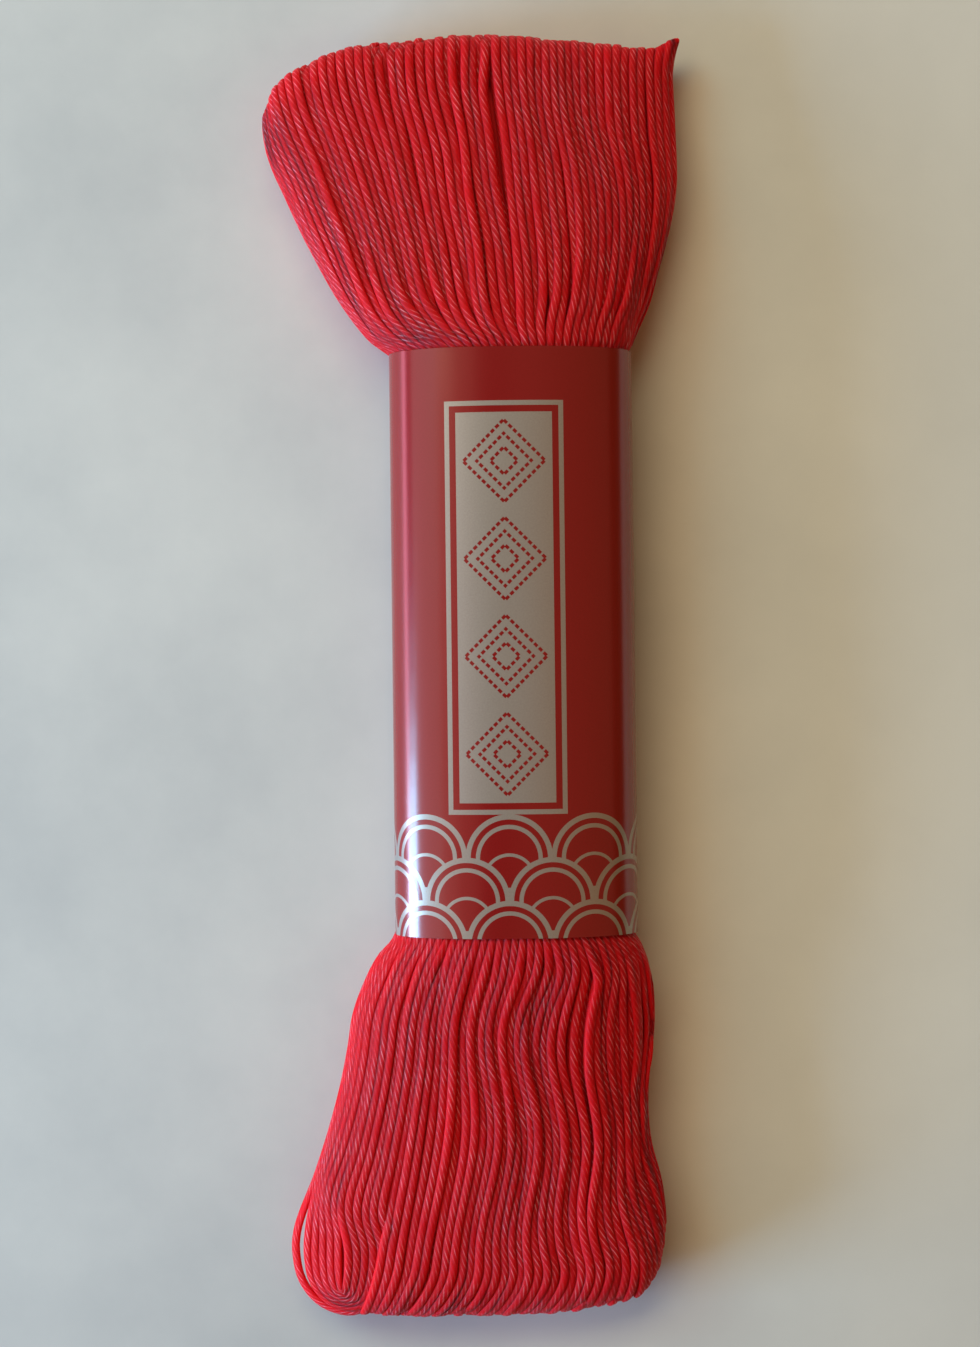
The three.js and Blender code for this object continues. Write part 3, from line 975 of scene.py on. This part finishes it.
def floor_material():
    """Pale cloth, a little mottled, with painted warm light to the right and painted shade towards the
    near edge.
    """
    shader = Shader("pale_floor")
    coordinates = shader.add("ShaderNodeTexCoord").outputs["Object"]
    place = shader.add("ShaderNodeSeparateXYZ", {"Vector": coordinates})
    mottle = shader.noise(coordinates, 30.0, Detail=6.0, Roughness=0.6)
    mottle = shader.math("MULTIPLY_ADD", mottle, 3.0, -1.0, clamp=True)
    colour = shader.mix(mottle, *(rgb(*pale) for pale in FLOOR_PALE))
    # Painted warm light to the right, then painted shade towards the near edge
    for axis, (begin, end), share, other in (("X", WARM_LIGHT_BEGINS, WARM_LIGHT_SHARE, FLOOR_PAINTED_WARM_LIGHT),
                                             ("Y", SHADE_BEGINS, SHADE_SHARE, FLOOR_PAINTED_SHADE)):
        ramp = {"Value": place.outputs[axis], "From Min": begin * MM, "From Max": end * MM}
        turned = shader.add("ShaderNodeMapRange", ramp).outputs[0]
        colour = shader.mix(shader.math("MULTIPLY", turned, share), colour, rgb(*other))
    shader.set(Base_Color=colour, Roughness=0.85)
    return shader.material


def make_core(fan, name, inset):
    """The hidden inside of a fan, a closed form under the strands."""
    home = np.linspace(0, 1, CORE_ACROSS)
    around = np.concatenate([home, home[::-1]])
    lift = np.concatenate([np.ones(CORE_ACROSS), -np.ones(CORE_ACROSS)])[:, None]
    turn = fan.height[0] / 2 - inset
    reach = lookup(fan.from_end, around * SHARE_STEPS, np.full(len(around), fan.index[-1]))[:, None]
    angle = np.linspace(CORE_TIP, np.pi / 2, CORE_ROUND)
    rounded = np.concatenate([np.sin(angle), np.ones(CORE_ALONG)])
    run = np.concatenate([np.zeros(CORE_ROUND), np.linspace(0, 1, CORE_ALONG + 1)[1:]])
    distance = inset + turn * (1 - np.sqrt(1 - rounded ** 2)) + (reach - inset - turn) * run
    place = fan.along_at(around, distance)
    points = fan.points(place, around[:, None], lift * rounded, inset)
    index = np.arange(place.size).reshape(place.shape).T
    after = np.roll(index, -1, axis=1)
    quads = np.stack([index[:-1], after[:-1], after[1:], index[1:]], axis=-1).reshape(-1, 4).tolist()
    return build_mesh(name, points.reshape(-1, 3), quads + [index[-1].tolist(), index[0][::-1].tolist()])


def lay_fan(name, fan, habit):
    """All the strands of a fan, settled among each other: its layers and any loose loops, by name."""
    rng = np.random.default_rng(habit["seed"])
    field = (SHARE_STEPS + 1, STRAND_POINTS)
    drift = sum(far * smooth_noise(rng, field, *size) for far, size in zip(habit["drift"], DRIFT_SIZES))
    batches = {f"layer_{k}": lay_strands(fan, rng, k, habit, drift) for k in range(LAYERS)}
    if name == "lower":
        batches["loops"] = corner_loops(fan)
    else:
        for points, _, _ in batches.values():
            pull_tip(fan, points)
    strands, grip, girth = (np.concatenate(parts) for parts in zip(*batches.values()))
    settled = settle(strands, grip, girth)
    counts = [len(points) for points, _, _ in batches.values()]
    return dict(zip(batches, np.split(settled, np.cumsum(counts)[:-1]))), rng


def make_skein():
    """The turns of thread of both fans, and the inside of each."""
    thread, inside = thread_material(), core_material()
    fans = {"lower": Fan(LOWER_ROWS, LOWER_END, -1), "upper": Fan(UPPER_ROWS, UPPER_END, 1)}
    for name, fan in fans.items():
        batches, rng = lay_fan(name, fan, HABITS[name])
        for batch, strands in batches.items():
            sides = DEEPEST_SIDES if batch == f"layer_{LAYERS - 1}" else STRAND_SIDES
            piece = tubes(f"{name}_{batch}", strands, rng, sides)
            piece.data.materials.append(thread)
            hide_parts("skein")
        core = make_core(fan, f"{name}_core", LAYERS * LAYER_STEP)
        core.data.materials.append(inside)


def band_sheet():
    """The paper in section: the points of its outer and inner side, their places along it from the middle
    of the front, and its length."""
    across = -np.cos(np.linspace(0, np.pi, BAND_STEPS + 1))
    top, bottom, _ = section_heights(across, BAND_HEIGHT, 0)
    over = np.stack([across * BAND_WIDTH / 2, top], axis=1)
    under = np.stack([across * BAND_WIDTH / 2, bottom], axis=1)[::-1]
    middle = BAND_STEPS // 2
    loop = np.concatenate([over[middle:], under[1:], over[1:middle + 1]])
    run = run_along(loop)
    girth = run[-1]
    length = girth + PAPER_LAP
    at = np.linspace(-length / 2, length / 2, SHEET_STEPS + 1)
    outline = points_at(at % girth, run, loop)
    ahead = points_at((at + SHEET_SLOPE) % girth, run, loop)
    behind = points_at((at - SHEET_SLOPE) % girth, run, loop)
    tangent = (ahead - behind) / np.linalg.norm(ahead - behind, axis=1, keepdims=True)
    inward = np.stack([tangent[:, 1], -tangent[:, 0]], axis=1)
    spiral = (LAP_ROOM * PAPER * (0.5 - at / length))[:, None]
    return outline + inward * spiral, outline + inward * (spiral + PAPER), at, length


def sheet_faces(rows, columns):
    """Faces of a sheet with an outer and an inner side of so many points, and of its four edges."""
    out, inn = np.arange(2 * rows * columns).reshape(2, rows, columns)
    return np.concatenate([
        np.stack([out[:-1, :-1], out[:-1, 1:], out[1:, 1:], out[1:, :-1]], -1).reshape(-1, 4),
        np.stack([inn[:-1, :-1], inn[1:, :-1], inn[1:, 1:], inn[:-1, 1:]], -1).reshape(-1, 4),
        np.stack([out[0, :-1], inn[0, :-1], inn[0, 1:], out[0, 1:]], -1),
        np.stack([out[-1, :-1], out[-1, 1:], inn[-1, 1:], inn[-1, :-1]], -1),
        np.stack([out[:-1, 0], out[1:, 0], inn[1:, 0], inn[:-1, 0]], -1),
        np.stack([out[:-1, -1], inn[:-1, -1], inn[1:, -1], out[1:, -1]], -1),
    ])


def make_band():
    """The printed paper: a thin sheet wrapped once round the waist, its ends lapped on the underside."""
    outer, inner, at, length = band_sheet()
    ys = np.linspace(-BAND_LENGTH / 2, BAND_LENGTH / 2, SHEET_ROWS + 1)
    points, uv_points = [], []
    for skin in (outer, inner):
        for y in ys:
            x_part, y_part = in_band_frame(skin[:, 0], np.full(len(skin), y))
            points.append(np.stack([x_part, y_part, skin[:, 1]], axis=1))
            uv_points.append(np.stack([at, np.full(len(at), y + BAND_LENGTH / 2)], axis=1))
    faces = sheet_faces(len(ys), len(at))
    uv = np.concatenate(uv_points)[faces.ravel()]
    piece = build_mesh("printed_band", np.concatenate(points), faces.tolist(), "Print", uv)
    piece.data.set_sharp_from_angle(angle=SHARP_EDGE)
    piece.data.materials.append(paper_material())
    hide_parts("paper_band")


def make_camera():
    """Straight above the skein, as in the photograph."""
    camera = bpy.data.objects.new("camera", bpy.data.cameras.new("camera"))
    camera.data.sensor_width = CAMERA_SENSOR
    camera.data.lens = CAMERA_LENS
    camera.data.clip_start = CAMERA_NEAREST * MM
    camera.location = Vector(CAMERA_PLACE) * MM
    bpy.context.collection.objects.link(camera)
    bpy.context.scene.camera = camera


def make_light(name, place, aim, size, power, colour):
    light = bpy.data.lights.new(name, "AREA")
    light.shape = "RECTANGLE"
    light.size, light.size_y = size
    light.energy = power
    light.color = colour
    lamp = bpy.data.objects.new(name, light)
    lamp.location = place
    lamp.rotation_euler = (Vector(aim) - Vector(place)).to_track_quat("-Z", "Y").to_euler()
    bpy.context.collection.objects.link(lamp)


def make_floor():
    mesh = bpy.data.meshes.new("floor")
    half = FLOOR_HALF * MM
    corners = [(-half, -half, 0), (half, -half, 0), (half, half, 0), (-half, half, 0)]
    mesh.from_pydata(corners, [], [(0, 1, 2, 3)])
    floor = bpy.data.objects.new("floor", mesh)
    floor.location.z = -FLOOR_DROP * MM
    floor.data.materials.append(floor_material())
    bpy.context.collection.objects.link(floor)


def make_room():
    """The glow and the lights round the skein."""
    world = bpy.data.worlds.new("room")
    world.use_nodes = True
    background = world.node_tree.nodes["Background"]
    background.inputs["Color"].default_value = ROOM_GLOW
    background.inputs["Strength"].default_value = ROOM_STRENGTH
    bpy.context.scene.world = world
    for light in LIGHTS:
        make_light(*light)
    bpy.context.scene.view_settings.view_transform = "Standard"


make_camera()
make_floor()
make_room()
make_skein()
make_band()
